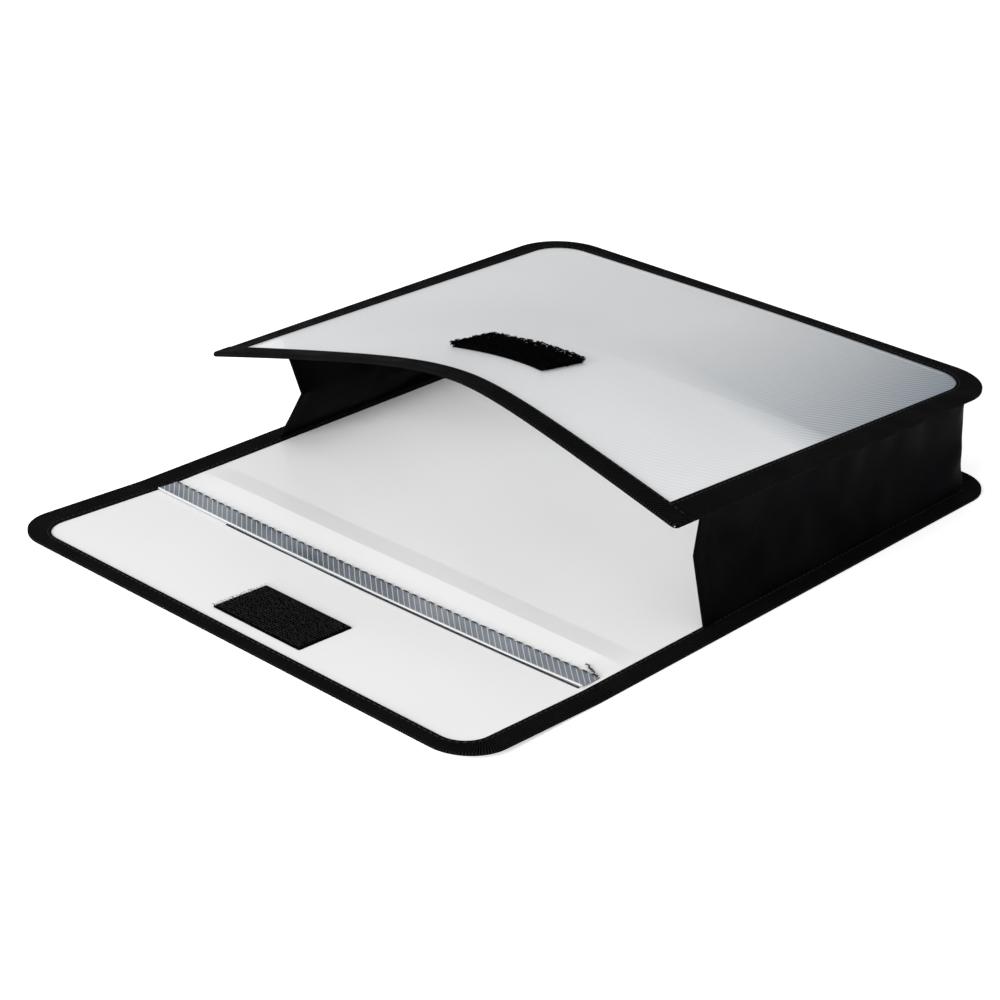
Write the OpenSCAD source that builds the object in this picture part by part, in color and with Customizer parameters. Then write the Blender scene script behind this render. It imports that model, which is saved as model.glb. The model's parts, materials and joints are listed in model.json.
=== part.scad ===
// Expanding portfolio case: a folded plastic back with a closing flap,
// an arched front cover and a fabric gusset on three sides.
// Origin: centre of the footprint, on the ground. +Y points to the rear edge,
// +Z up, -Y to the mouth and the flap.

/* [Case] */
// Width over the side bindings
case_w = 350; // [300:1:400]
// Length of the back panel, from the mouth fold to the rear edge
body_l = 305; // [280:1:340]
// Length of the band between the mouth fold and the flap fold
band_l = 50; // [48:0.5:51]
// Length of the closing flap
flap_l = 94; // [84:1:96]
// Corner radius of the back panel and of the flap
corner_r = 26; // [15:1:40]
// Upward tilt of the flap as it lies, in degrees
flap_tilt = 2.4; // [0:0.1:3]

/* [Cover] */
// Height of the cover's underside over the ground at its left edge
side_h = 64; // [62:0.5:70]
// Height that the arch adds at the mouth
arch_h = 38.5; // [20:0.5:40]
// Sideways place of the top of the arch
arch_x = 17; // [0:1:30]
// Roundness of the top of the arch, from a sharp ridge to a dome
arch_round = 0.25; // [0.1:0.01:0.6]
// Extra height of the cover's right edge at the mouth
right_lift = 11.5; // [0:0.5:14]
// Distance from the mouth fold back to the cover's front edge
mouth_gap = 3.5; // [3:0.5:8]
// Corner radius at the rear of the cover
cover_r = 35; // [20:1:40]
// How far the cover's edge stays inside the back panel's edge
cover_inset = 2; // [0:0.5:4]

/* [Sheets and tape] */
// Thickness of the plastic sheets
sheet_t = 0.6; // [0.5:0.1:1.2]
// Thickness of the woven binding tape
tape_t = 0.6; // [0.4:0.1:0.8]
// Visible width of the tape along the sides of the back and the flap
side_tape = 14; // [10:0.5:18]
// Visible width of the tape along the flap's front edge
front_tape = 9; // [8:0.5:14]
// Visible width of the tape around the cover
cover_tape = 12.5; // [8:0.5:14]
// Width of the sewing thread's line
thread_w = 0.6; // [0.4:0.1:1]

/* [Gusset] */
// Distance from the outer edge to the gusset wall
wall_inset = 11; // [8:0.5:14]
// Thickness of the gusset fabric
wall_t = 0.6; // [0.4:0.1:1]
// Depth of the pleat at the front of the left gusset
pleat_left = 20; // [6:1:20]
// Depth of the pleat at the front of the right gusset
pleat_right = 9; // [6:1:20]
// Depth of the pleat along the rear
pleat_rear = 3; // [1:0.5:6]
// Distance from the mouth fold back to the gusset's front edge, at the ground
gusset_start = 46; // [40:1:80]
// Forward lean of the left gusset's front edge at its top
lean_left = -3; // [-12:1:12]
// Forward lean of the right gusset's front edge at its top
lean_right = 8; // [-12:1:12]
// Width of the hem on the gusset's front edge
hem_w = 6; // [4:0.5:10]

/* [Fastener patches and strip] */
// Length of each patch, across the case
patch_l = 65; // [50:1:80]
// Width of the hook patch
patch_w = 37; // [25:1:38]
// Width of the loop patch, with its pile
loop_w = 36; // [25:1:40]
// Thickness of each patch
patch_t = 1.6; // [1:0.1:1.8]
// Sideways place of the hook patch
hook_x = 5.5; // [-10:0.5:10]
// Distance from the flap fold to the middle of the hook patch
hook_dist = 56; // [50:0.5:57]
// Sideways place of the loop patch
loop_x = -1.5; // [-10:0.5:10]
// Distance from the cover's front edge to the middle of the loop patch
loop_dist = 73.5; // [60:0.5:76]
// Width of the clear strip, short of the flap fold
strip_w = 12; // [8:0.5:12]
// Thickness of the clear strip
strip_t = 0.4; // [0.3:0.1:0.6]

/* [Hidden] */
$fn = 96;

half_w = case_w / 2;
y_back = (body_l + band_l + flap_l) / 2; // rear edge
y_fold = y_back - body_l;                // mouth fold
y_hinge = y_fold - band_l;               // flap fold
y_mouth = y_fold + mouth_gap;            // front edge of the cover
edge_t = sheet_t + 2 * tape_t;           // thickness of a bound edge
fold_gap = 0.15;                         // half the gap left at each fold
slot_gap = 0.05;                         // play between a sheet and its tape
seam_inset = 2.2;                        // thread line to the tape's inner edge
thread_t = 0.3;                          // height of the thread over the tape
close_angle = 12;                        // how far the cover is pressed down
wall_gap = 0.4;                          // gap between gusset and cover
sheet_half = half_w - tape_t;            // sheets stop short of the tape's edge
arc_step = 9;                            // degrees between points on an arc

// Height profile of the cover
function dome(s) = sqrt(s * s + arch_round * arch_round) - arch_round;
function side_part(x) = x < arch_x
    ? (arch_x - x) / (half_w + arch_x)
    : (x - arch_x) / (half_w - arch_x);
function rise(x) = right_lift * (x / case_w + 0.5)
    + arch_h * (1 - dome(side_part(x)) / dome(1));
function cover_z(x, y) = side_h + edge_t / 2
    + rise(x) * (y_back - y) / (y_back - y_mouth);

// Solid through rings of points that all have the same count.
// Each ring runs clockwise when seen from the first ring towards the last.
// caps lists the faces of an end, for a section that isn't convex.
module loft(rings, caps = []) {
    n = len(rings[0]);
    last = len(rings) - 1;
    faces = len(caps) > 0 ? caps : [[for (i = [0 : n - 1]) i]];
    sides = [
        for (k = [0 : last - 1], i = [0 : n - 1])
            let (a = k * n + i, b = k * n + (i + 1) % n)
            each [[a, b, b + n], [a, b + n, a + n]]
    ];
    start_cap = [for (f = faces) [for (i = [len(f) - 1 : -1 : 0]) f[i]]];
    end_cap = [for (f = faces) [for (i = f) last * n + i]];
    polyhedron([for (r = rings) each r], concat(start_cap, sides, end_cap));
}

// Ring at an edge point p with inward direction q: each corner is
// [distance inward, height over the cover's middle surface]
function cover_ring(p, q, corners) = [
    for (c = corners)
        let (x = p[0] + q[0] * c[0], y = p[1] + q[1] * c[0])
        [x, y, cover_z(x, y) + c[1]]
];

// Folded tape around an edge, as seen in section
function tape_section(width) = let (
        out = edge_t / 2,
        slot = sheet_t / 2 + slot_gap
    ) [
        [-tape_t, -out], [-tape_t, out], [width, out], [width, slot],
        [0, slot], [0, -slot], [width, -slot], [width, -out]
    ];

// End faces of a folded tape: both legs and the fold between them
tape_caps = [[0, 1, 4, 5], [1, 2, 3, 4], [0, 5, 6, 7]];

// Thread lying on a tape, at distance d from the edge, as seen in section
function thread_section(d) = let (low = edge_t / 2 + slot_gap) [
        [d, low], [d, low + thread_t],
        [d + thread_w, low + thread_t], [d + thread_w, low]
    ];

// Rear outline at inset from the sheet's edge: [point, inward direction].
// It runs from the left side round both corners to the right side.
function rear_path(inset, r, y_start) = let (
        side = sheet_half - inset,
        rear = y_back - tape_t - inset,
        cx = side - r,
        cy = rear - r,
        parts = 14,
        sides = 16
    ) concat(
        [for (i = [0 : sides - 1]) [[-side, y_start + (cy - y_start) * i / sides], [1, 0]]],
        [for (a = [0 : arc_step : 90]) [[-cx - r * cos(a), cy + r * sin(a)], [cos(a), -sin(a)]]],
        [for (i = [1 : parts - 1]) [[-cx + 2 * cx * i / parts, rear], [0, -1]]],
        [for (a = [90 : -arc_step : 0]) [[cx + r * cos(a), cy + r * sin(a)], [-cos(a), -sin(a)]]],
        [for (i = [sides - 1 : -1 : 0]) [[side, y_start + (cy - y_start) * i / sides], [-1, 0]]]
    );

// Outline of the back panel at an inset from its outer edge, with true arcs
module rear_rounded(inset, front) {
    r = corner_r - inset;
    w = case_w - 2 * inset;
    top = y_back - inset;
    union() {
        translate([-w / 2, front]) square([w, top - r - front]);
        translate([-w / 2 + r, front]) square([w - 2 * r, top - front]);
        for (sx = [-1, 1])
            translate([sx * (w / 2 - r), top - r]) circle(r);
    }
}

// Outline of the flap: rounded at the front, and square at its end near the fold
module flap_outline(inset_side, inset_front, end) {
    r = corner_r - inset_front;
    w = case_w - 2 * inset_side;
    low = -flap_l + inset_front;
    union() {
        translate([-w / 2, low + r]) square([w, end - low - r]);
        translate([-w / 2 + r, low]) square([w - 2 * r, end - low]);
        for (sx = [-1, 1])
            translate([sx * (w / 2 - r), low + r]) circle(r);
    }
}

// ---- Base: back panel, its binding and the gusset ----

module back_panel() {
    color("gainsboro")
        translate([0, 0, tape_t])
            linear_extrude(sheet_t)
                rear_rounded(tape_t, y_fold + fold_gap);
}

module back_binding() {
    color([0.08, 0.08, 0.09])
        difference() {
            linear_extrude(edge_t) rear_rounded(0, y_fold + fold_gap);
            translate([0, 0, -1])
                linear_extrude(edge_t + 2)
                    rear_rounded(side_tape, y_fold - 1);
            translate([0, 0, tape_t])
                linear_extrude(sheet_t)
                    rear_rounded(tape_t, y_fold - 1);
        }
}

module back_binding_seam() {
    inset = side_tape - seam_inset;
    front = y_fold + 1;
    color([0.05, 0.05, 0.05])
        translate([0, 0, edge_t])
            linear_extrude(thread_t)
                difference() {
                    rear_rounded(inset, front);
                    rear_rounded(inset + thread_w, front - 1);
                }
}

// Section of a gusset wall at p: a flat wall with one pleat at mid height
function wall_ring(p, q, top, depth) = let (
        low = edge_t + thread_t + slot_gap,
        mid = (low + top) / 2
    ) [
        for (c = [
            [0, low], [depth, mid], [0, top],
            [wall_t, top], [depth + wall_t, mid], [wall_t, low]
        ]) [p[0] + q[0] * c[0], p[1] + q[1] * c[0], c[1]]
    ];

// End faces of a pleated wall: below and above its fold
wall_caps = [[0, 1, 4, 5], [1, 2, 3, 4]];

wall_x = half_w - wall_inset;
wall_rear = y_back - wall_inset;
wall_r = corner_r - wall_inset;
side_end = y_back - corner_r - 1; // rear end of the side gussets
gusset_y = y_fold + gusset_start;

function wall_top(x, y) = cover_z(x, y) - edge_t / 2 - wall_gap;

function pleat(side) = side < 0 ? pleat_left : pleat_right;
function lean(side) = side < 0 ? lean_left : lean_right;

// Side gusset from its hem back to the corner
module side_gusset(side) {
    steps = 20;
    front_top = gusset_y - lean(side);
    rings = [
        for (i = [0 : steps])
            let (
                k = i / steps,
                y0 = gusset_y + (side_end - gusset_y) * k,
                y1 = front_top + (side_end - front_top) * k,
                depth = pleat(side) * (1 - k) + pleat_rear * k,
                top = wall_top(side * wall_x, y1),
                low = edge_t + thread_t + slot_gap,
                mid = (low + top) / 2,
                ym = (y0 + y1) / 2
            )
            [
                [wall_x, y0, low], [wall_x - depth, ym, mid], [wall_x, y1, top],
                [wall_x - wall_t, y1, top], [wall_x - depth - wall_t, ym, mid],
                [wall_x - wall_t, y0, low]
            ]
    ];
    mirror([side < 0 ? 1 : 0, 0, 0]) loft([for (i = [steps : -1 : 0]) rings[i]], wall_caps);
}

// Folded hem that closes the front edge of a side gusset
module gusset_hem(side) {
    hem_t = 3 * wall_t;
    front_top = gusset_y - lean(side);
    low = edge_t + thread_t + slot_gap;
    top = wall_top(side * wall_x, front_top - hem_w);
    mid = (low + top) / 2;
    skin = (hem_t - wall_t) / 2;
    levels = [
        [wall_x + skin, gusset_y, low],
        [wall_x + skin - pleat(side), gusset_y - lean(side) / 2, mid],
        [wall_x + skin, front_top, top]
    ];
    mirror([side < 0 ? 1 : 0, 0, 0])
        loft([
            for (l = levels) [
                [l[0], l[1] - slot_gap, l[2]],
                [l[0], l[1] - hem_w, l[2]],
                [l[0] - hem_t, l[1] - hem_w, l[2]],
                [l[0] - hem_t, l[1] - slot_gap, l[2]]
            ]
        ]);
}

module left_gusset() {
    color([0.09, 0.09, 0.10]) side_gusset(-1);
}

module right_gusset() {
    color([0.09, 0.09, 0.10]) side_gusset(1);
}

module left_gusset_hem() {
    color([0.06, 0.06, 0.07]) gusset_hem(-1);
}

module right_gusset_hem() {
    color([0.06, 0.06, 0.07]) gusset_hem(1);
}

// Rear wall with both corners; its top clears the cover when it is pressed down
module rear_gusset() {
    path = rear_path(wall_inset - tape_t, wall_r, side_end + slot_gap);
    color([0.09, 0.09, 0.10])
        loft([
            for (s = path)
                let (
                    p = s[0],
                    drop = (wall_rear - p[1]) * tan(close_angle),
                    top = wall_top(p[0], p[1]) - drop
                )
                wall_ring(p, s[1], top, pleat_rear)
        ], wall_caps);
}

// ---- Front cover ----

cover_half = sheet_half - cover_inset;
cover_c = cover_half - (cover_r - tape_t);
function cover_rear(x) = let (
        r = cover_r - tape_t,
        out = max(0, abs(x) - cover_c)
    ) y_back - cover_inset - tape_t - r + sqrt(max(0, r * r - out * out));

// Sideways stations of the cover, closer together round the corners
function cover_stations() = let (r = cover_r - tape_t, parts = 40) concat(
        [for (a = [90 : -arc_step : arc_step]) -cover_c - r * sin(a)],
        [for (i = [0 : parts]) -cover_c + 2 * cover_c * i / parts],
        [for (a = [arc_step : arc_step : 90]) cover_c + r * sin(a)]
    );

// Rows along the cover keep its twisted faces close to the true arch
cover_rows = 10;
cover_caps = let (n = 2 * cover_rows + 2) [
    for (j = [0 : cover_rows - 1]) [j, j + 1, n - 2 - j, n - 1 - j]
];

module front_cover() {
    front = y_mouth + tape_t;
    h = sheet_t / 2;
    color([0.82, 0.84, 0.86, 0.6])
        loft([
            for (x = cover_stations())
                let (step = (cover_rear(x) - front) / cover_rows)
                concat(
                    [for (j = [0 : cover_rows])
                        [x, front + step * j, cover_z(x, front + step * j) + h]],
                    [for (j = [cover_rows : -1 : 0])
                        [x, front + step * j, cover_z(x, front + step * j) - h]]
                )
        ], cover_caps);
}

module cover_binding() {
    section = tape_section(cover_tape - tape_t);
    path = rear_path(cover_inset, cover_r - tape_t, y_mouth + cover_tape + slot_gap);
    color([0.08, 0.08, 0.09])
        loft([for (s = path) cover_ring(s[0], s[1], section)], tape_caps);
}

module cover_binding_seam() {
    section = thread_section(cover_tape - tape_t - seam_inset);
    path = rear_path(cover_inset, cover_r - tape_t, y_mouth + cover_tape + 1);
    color([0.05, 0.05, 0.05])
        loft([for (s = path) cover_ring(s[0], s[1], section)]);
}

// Stations along the mouth, from right to left
function mouth_stations(edge) = [for (i = [0 : 50]) edge - 2 * edge * i / 50];

module mouth_binding() {
    section = tape_section(cover_tape - tape_t);
    front = y_mouth + tape_t;
    color([0.08, 0.08, 0.09])
        loft([
            for (x = mouth_stations(half_w - cover_inset))
                cover_ring([x, front], [0, 1], section)
        ], tape_caps);
}

module mouth_binding_seam() {
    section = thread_section(cover_tape - tape_t - seam_inset);
    front = y_mouth + tape_t;
    color([0.05, 0.05, 0.05])
        loft([
            for (x = mouth_stations(half_w - cover_inset - 1))
                cover_ring([x, front], [0, 1], section)
        ]);
}

module loop_patch() {
    y0 = y_mouth + loop_dist - loop_w / 2;
    low = sheet_t / 2 + slot_gap;
    section = [[0, low], [0, low + patch_t], [loop_w, low + patch_t], [loop_w, low]];
    color([0.05, 0.05, 0.05])
        loft([
            for (i = [0 : 10])
                let (x = loop_x + patch_l / 2 - patch_l * i / 10)
                cover_ring([x, y0], [0, 1], section)
        ]);
}

// ---- Folding band with the clear strip ----

module band_panel() {
    color("gainsboro")
        translate([-sheet_half, y_hinge + fold_gap, tape_t])
            cube([2 * sheet_half, band_l - 2 * fold_gap, sheet_t]);
}

// Folded tape on one side of the band, drawn for the right side
module band_tape() {
    difference() {
        translate([half_w - side_tape, y_hinge + fold_gap, 0])
            cube([side_tape, band_l - 2 * fold_gap, edge_t]);
        translate([0, y_hinge - 1, tape_t])
            cube([sheet_half, band_l + 2, sheet_t]);
    }
}

module band_binding_left() {
    color([0.08, 0.08, 0.09]) mirror([1, 0, 0]) band_tape();
}

module band_binding_right() {
    color([0.08, 0.08, 0.09]) band_tape();
}

strip_half = half_w - side_tape - 1;
strip_rear = y_fold - 37.5; // sewn edge at mid width
strip_bow = 3;              // how far the strip's ends lie back from its middle
function strip_y(x, base) = base + strip_bow * pow(x / strip_half, 2);
strip_xs = [for (i = [-8 : 8]) strip_half * i / 8];

module bowed_band(base, depth) {
    polygon(concat(
        [for (x = strip_xs) [x, strip_y(x, base - depth)]],
        [for (i = [16 : -1 : 0]) [strip_xs[i], strip_y(strip_xs[i], base)]]
    ));
}

module clear_strip() {
    color([0.75, 0.80, 0.84, 0.5])
        translate([0, 0, tape_t + sheet_t])
            linear_extrude(strip_t)
                bowed_band(strip_rear, strip_w);
}

module strip_stitching() {
    color([0.05, 0.05, 0.05])
        translate([0, 0, tape_t + sheet_t + strip_t])
            linear_extrude(thread_t - 0.05)
                bowed_band(strip_rear - 1, thread_w);
}

// ---- Flap, drawn flat from its fold and then tilted ----

module on_flap() {
    translate([0, y_hinge, edge_t])
        rotate([-flap_tilt, 0, 0])
            translate([0, 0, -edge_t])
                children();
}

module flap_panel() {
    color("gainsboro")
        on_flap()
            translate([0, 0, tape_t])
                linear_extrude(sheet_t)
                    flap_outline(tape_t, tape_t, -fold_gap);
}

module flap_binding() {
    color([0.08, 0.08, 0.09])
        on_flap()
            difference() {
                linear_extrude(edge_t)
                    flap_outline(0, 0, -fold_gap);
                translate([0, 0, -1])
                    linear_extrude(edge_t + 2)
                        flap_outline(side_tape, front_tape, 1);
                translate([0, 0, tape_t])
                    linear_extrude(sheet_t)
                        flap_outline(tape_t, tape_t, 1);
            }
}

module flap_binding_seam() {
    side_d = side_tape - seam_inset;
    front_d = front_tape - seam_inset;
    color([0.05, 0.05, 0.05])
        on_flap()
            translate([0, 0, edge_t])
                linear_extrude(thread_t)
                    difference() {
                        flap_outline(side_d, front_d, -1);
                        flap_outline(side_d + thread_w, front_d + thread_w, 1);
                    }
}

module hook_patch() {
    color([0.05, 0.05, 0.05])
        on_flap()
            translate([hook_x - patch_l / 2, -hook_dist - patch_w / 2, tape_t + sheet_t])
                cube([patch_l, patch_w, patch_t]);
}

back_panel();
back_binding();
back_binding_seam();
left_gusset();
right_gusset();
rear_gusset();
left_gusset_hem();
right_gusset_hem();
front_cover();
cover_binding();
mouth_binding();
cover_binding_seam();
mouth_binding_seam();
loop_patch();
band_panel();
band_binding_left();
band_binding_right();
clear_strip();
strip_stitching();
flap_panel();
flap_binding();
flap_binding_seam();
hook_patch();
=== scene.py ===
import json
import math
import bpy
import numpy as np
from mathutils import Matrix, Vector


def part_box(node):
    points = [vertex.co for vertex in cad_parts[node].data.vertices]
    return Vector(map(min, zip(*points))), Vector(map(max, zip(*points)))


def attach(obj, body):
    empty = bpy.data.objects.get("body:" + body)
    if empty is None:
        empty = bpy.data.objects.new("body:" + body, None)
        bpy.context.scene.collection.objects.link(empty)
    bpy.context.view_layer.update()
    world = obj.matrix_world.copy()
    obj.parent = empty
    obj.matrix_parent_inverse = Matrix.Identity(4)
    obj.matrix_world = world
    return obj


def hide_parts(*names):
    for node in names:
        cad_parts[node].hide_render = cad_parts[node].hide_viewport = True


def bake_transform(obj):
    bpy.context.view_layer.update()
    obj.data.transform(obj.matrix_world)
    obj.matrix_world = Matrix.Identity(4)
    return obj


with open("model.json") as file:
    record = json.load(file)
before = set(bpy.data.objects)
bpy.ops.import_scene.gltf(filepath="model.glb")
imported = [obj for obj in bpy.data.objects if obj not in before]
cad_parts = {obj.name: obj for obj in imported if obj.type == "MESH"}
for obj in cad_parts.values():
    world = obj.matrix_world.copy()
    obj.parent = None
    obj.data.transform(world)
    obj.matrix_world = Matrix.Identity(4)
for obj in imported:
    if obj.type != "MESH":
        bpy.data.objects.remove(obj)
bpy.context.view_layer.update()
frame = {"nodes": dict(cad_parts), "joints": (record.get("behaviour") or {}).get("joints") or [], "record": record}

mm = 0.001

# where things are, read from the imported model
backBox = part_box("back_binding")
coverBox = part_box("cover_binding")
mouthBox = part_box("mouth_binding")
joints = {joint["name"]: joint for joint in frame["joints"]}
halfWidth = backBox[1][0]
rearY = backBox[1][1]
foldY = joints["mouth_fold"]["pos_m"][1]
hingeY = joints["flap_fold"]["pos_m"][1]
tapeTop = joints["mouth_fold"]["pos_m"][2]  # top of a bound edge
mouthY = mouthBox[0][1]
flapLength = 94 * mm
sheetMiddle = tapeTop / 2

cover = {
    "underside": 64 * mm,  # height of the left edge
    "arch": 38.5 * mm,
    "archX": 17 * mm,
    "round": 0.25,
    "rightLift": 11.5 * mm,
    "cornerRadius": 35 * mm,
    "tapeWidth": 12.5 * mm,
    "mouthWidth": 14.5 * mm,
    "rightTape": 15.5 * mm,  # the tape is wider on this side
}
coverHalf = coverBox[1][0]
coverRear = coverBox[1][1]


def dome(s):
    return np.sqrt(s * s + cover["round"] ** 2) - cover["round"]


def coverHeight(x, y):  # middle of the arched cover sheet; it fades to level at the rear
    left = (cover["archX"] - x) / (halfWidth + cover["archX"])
    right = (x - cover["archX"]) / (halfWidth - cover["archX"])
    side = np.where(x < cover["archX"], left, right)
    rise = cover["rightLift"] * (x / (2 * halfWidth) + 0.5)
    rise = rise + cover["arch"] * (1 - dome(side) / dome(1.0))
    return cover["underside"] + sheetMiddle + rise * (rearY - y) / (rearY - mouthY)


# small helpers for modelling

def pick(obj):  # only this object is selected and active
    if bpy.context.mode != "OBJECT":
        bpy.ops.object.mode_set(mode="OBJECT")
    bpy.ops.object.select_all(action="DESELECT")
    obj.select_set(True)
    bpy.context.view_layer.objects.active = obj


def choose(obj, kind, test):  # select in edit mode what passes the test
    pick(obj)
    bpy.ops.object.mode_set(mode="EDIT")
    bpy.ops.mesh.select_mode(type=kind)
    bpy.ops.mesh.select_all(action="DESELECT")
    bpy.ops.object.mode_set(mode="OBJECT")
    mesh = obj.data
    if kind == "VERT":
        for vertex in mesh.vertices:
            vertex.select = test(vertex.co)
    else:
        for face in mesh.polygons:
            face.select = test(face.center, face.normal)
    bpy.ops.object.mode_set(mode="EDIT")


def flatPiece(name, x0, x1, y0, y1, z=0.0):
    bpy.ops.object.select_all(action="DESELECT")
    centre = ((x0 + x1) / 2, (y0 + y1) / 2, z)
    bpy.ops.mesh.primitive_plane_add(size=1, location=centre)
    obj = bpy.context.object
    obj.name = obj.data.name = name
    obj.scale = (x1 - x0, y1 - y0, 1)
    bpy.ops.object.transform_apply(location=True, rotation=True, scale=True)
    return obj


def roundCorners(obj, test, radius, segments=12):
    choose(obj, "VERT", test)
    bpy.ops.mesh.bevel(offset=radius, segments=segments, affect="VERTICES")
    bpy.ops.object.mode_set(mode="OBJECT")


def hollow(obj, width):  # leaves a ring of this width inside the outline
    choose(obj, "FACE", lambda centre, normal: True)
    bpy.ops.mesh.inset(thickness=width, depth=0)
    bpy.ops.mesh.delete(type="FACE")
    bpy.ops.object.mode_set(mode="OBJECT")


def cut(obj, axis, places, clear=None):  # cut lines across; clear drops the low or high side
    pick(obj)
    bpy.ops.object.mode_set(mode="EDIT")
    normal = [0, 0, 0]
    normal[axis] = 1
    for place in places:
        point = [0, 0, 0]
        point[axis] = place
        bpy.ops.mesh.select_all(action="SELECT")
        bpy.ops.mesh.bisect(plane_co=point, plane_no=normal,
                            clear_inner=clear == "low", clear_outer=clear == "high")
    bpy.ops.object.mode_set(mode="OBJECT")


def applyModifier(obj, kind, **settings):
    pick(obj)
    modifier = obj.modifiers.new(kind.title(), kind)
    for key, value in settings.items():
        setattr(modifier, key, value)
    bpy.ops.object.modifier_apply(modifier=modifier.name)


def thicken(obj, thickness, softEdge=0.0, segments=2):
    applyModifier(obj, "SOLIDIFY", thickness=thickness, offset=0)
    if softEdge:
        applyModifier(obj, "BEVEL", width=softEdge, segments=segments,
                      limit_method="ANGLE", angle_limit=math.radians(50))
    pick(obj)
    bpy.ops.object.mode_set(mode="EDIT")
    bpy.ops.mesh.select_all(action="SELECT")
    bpy.ops.mesh.normals_make_consistent(inside=False)
    bpy.ops.object.mode_set(mode="OBJECT")


def smooth(obj, angle=40):
    pick(obj)
    bpy.ops.object.shade_smooth_by_angle(angle=math.radians(angle))


def coordinates(obj):
    points = np.empty(len(obj.data.vertices) * 3)
    obj.data.vertices.foreach_get("co", points)
    return points.reshape(-1, 3)


def setCoordinates(obj, points):
    obj.data.vertices.foreach_set("co", points.ravel())
    obj.data.update()


def shift(obj, change):  # moves every point by change(x, y, z)
    points = coordinates(obj)
    setCoordinates(obj, points + np.array(change(*points.T)).T)


def liftToCover(obj):  # bends a piece that was made flat to the cover's arch
    points = coordinates(obj)
    points[:, 2] += coverHeight(points[:, 0], points[:, 1])
    setCoordinates(obj, points)


def ripple(x, y, size, seed):  # smooth, low waves made of a few crossed sines
    rng = np.random.default_rng(seed)
    total = np.zeros_like(x)
    for step in range(7):
        turn, phase = rng.uniform(0, math.tau, 2)
        wave = math.tau / (size * rng.uniform(0.6, 1.7))
        total += np.sin((x * math.cos(turn) + y * math.sin(turn)) * wave + phase)
    return total / 7


def spaced(low, high, step):  # inner stations about step apart
    count = max(2, round((high - low) / step))
    return [low + (high - low) * i / count for i in range(1, count)]


def edgePath(inset, radius, nearY, farY, half=None):  # from the left side round both far corners
    side = (half or halfWidth) - inset
    turn = radius - inset
    out = 1 if farY > nearY else -1
    far = farY - out * inset
    arc = [math.radians(a) for a in range(0, 91, 5)]
    left = [(-side + turn - turn * math.cos(a), far - out * turn * (1 - math.sin(a))) for a in arc]
    right = [(-x, y) for x, y in reversed(left)]
    return [(-side, nearY)] + left + right + [(side, nearY)]


def along(path, pitch):  # points at an even pitch on a path, with the direction there
    path = np.array(path, float)
    leg = np.diff(path, axis=0)
    size = np.hypot(*leg.T)
    sums = np.concatenate([[0], np.cumsum(size)])
    count = int(sums[-1] / pitch)
    places = (np.arange(count) + 0.5) * sums[-1] / count
    index = np.clip(np.searchsorted(sums, places, side="right") - 1, 0, len(leg) - 1)
    share = (places - sums[index]) / size[index]
    points = path[index] + leg[index] * share[:, None]
    turns = np.arctan2(leg[index, 1], leg[index, 0])
    return points, turns


def mapAlong(obj, path):  # UV map that runs along a path, in metres
    path = np.array(path, float)
    leg = np.diff(path, axis=0)
    size = np.hypot(*leg.T)
    sums = np.concatenate([[0], np.cumsum(size)])[:-1]
    points = coordinates(obj)[:, :2]
    toPoint = points[:, None, :] - path[None, :-1, :]
    share = np.clip((toPoint * leg).sum(2) / size ** 2, 0, 1)
    gap = np.hypot(*(toPoint - leg * share[:, :, None]).transpose(2, 0, 1))
    best = gap.argmin(1)
    rows = np.arange(len(points))
    uv = np.stack([sums[best] + share[rows, best] * size[best], gap[rows, best]], 1)
    layer = obj.data.uv_layers.get("Along") or obj.data.uv_layers.new(name="Along")
    corner = np.empty(len(obj.data.loops), int)
    obj.data.loops.foreach_get("vertex_index", corner)
    layer.data.foreach_set("uv", uv[corner].ravel())


def scatter(name, template, spots):
    # spots: (x, y, z, turn about z, tilt, size); each becomes a copy of the template
    base = coordinates(template)
    faces = [list(face.vertices) for face in template.data.polygons]
    points, allFaces = [], []
    for number, (x, y, z, turn, tilt, size) in enumerate(spots):
        matrix = Matrix.Rotation(turn, 3, "Z") @ Matrix.Rotation(tilt, 3, "X")
        points.append(base * size @ np.array(matrix).T + (x, y, z))
        start = number * len(base)
        allFaces += [[start + i for i in face] for face in faces]
    mesh = bpy.data.meshes.new(name)
    mesh.from_pydata(np.concatenate(points).tolist(), [], allFaces)
    mesh.update()
    obj = bpy.data.objects.new(name, mesh)
    bpy.context.collection.objects.link(obj)
    mesh.polygons.foreach_set("use_smooth", [True] * len(mesh.polygons))
    bpy.data.objects.remove(template)
    return obj


# materials

def addNode(tree, kind, **inputs):
    node = tree.nodes.new(kind)
    for key, value in inputs.items():
        key = key.replace("_", " ")
        if key in node.inputs:
            node.inputs[key].default_value = value
        else:
            setattr(node, key.replace(" ", "_"), value)
    return node


def startGroup(name, numbers, outputs):
    tree = bpy.data.node_groups.new(name, "ShaderNodeTree")
    tree.interface.new_socket("Vector", in_out="INPUT", socket_type="NodeSocketVector")
    for key, value in numbers.items():
        socket = tree.interface.new_socket(key, in_out="INPUT", socket_type="NodeSocketFloat")
        socket.default_value = value
    for key in outputs:
        tree.interface.new_socket(key, in_out="OUTPUT", socket_type="NodeSocketFloat")
    return tree, tree.nodes.new("NodeGroupInput"), tree.nodes.new("NodeGroupOutput")


def math2(tree, operation, first, second=None):
    node = tree.nodes.new("ShaderNodeMath")
    node.operation = operation
    for index, value in enumerate((first, second)):
        if value is None:
            continue
        if isinstance(value, (int, float)):
            node.inputs[index].default_value = value
        else:
            tree.links.new(value, node.inputs[index])
    return node.outputs[0]


def axisOf(tree, vector, axis):
    split = tree.nodes.new("ShaderNodeSeparateXYZ")
    tree.links.new(vector, split.inputs[0])
    return split.outputs[axis]


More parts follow.
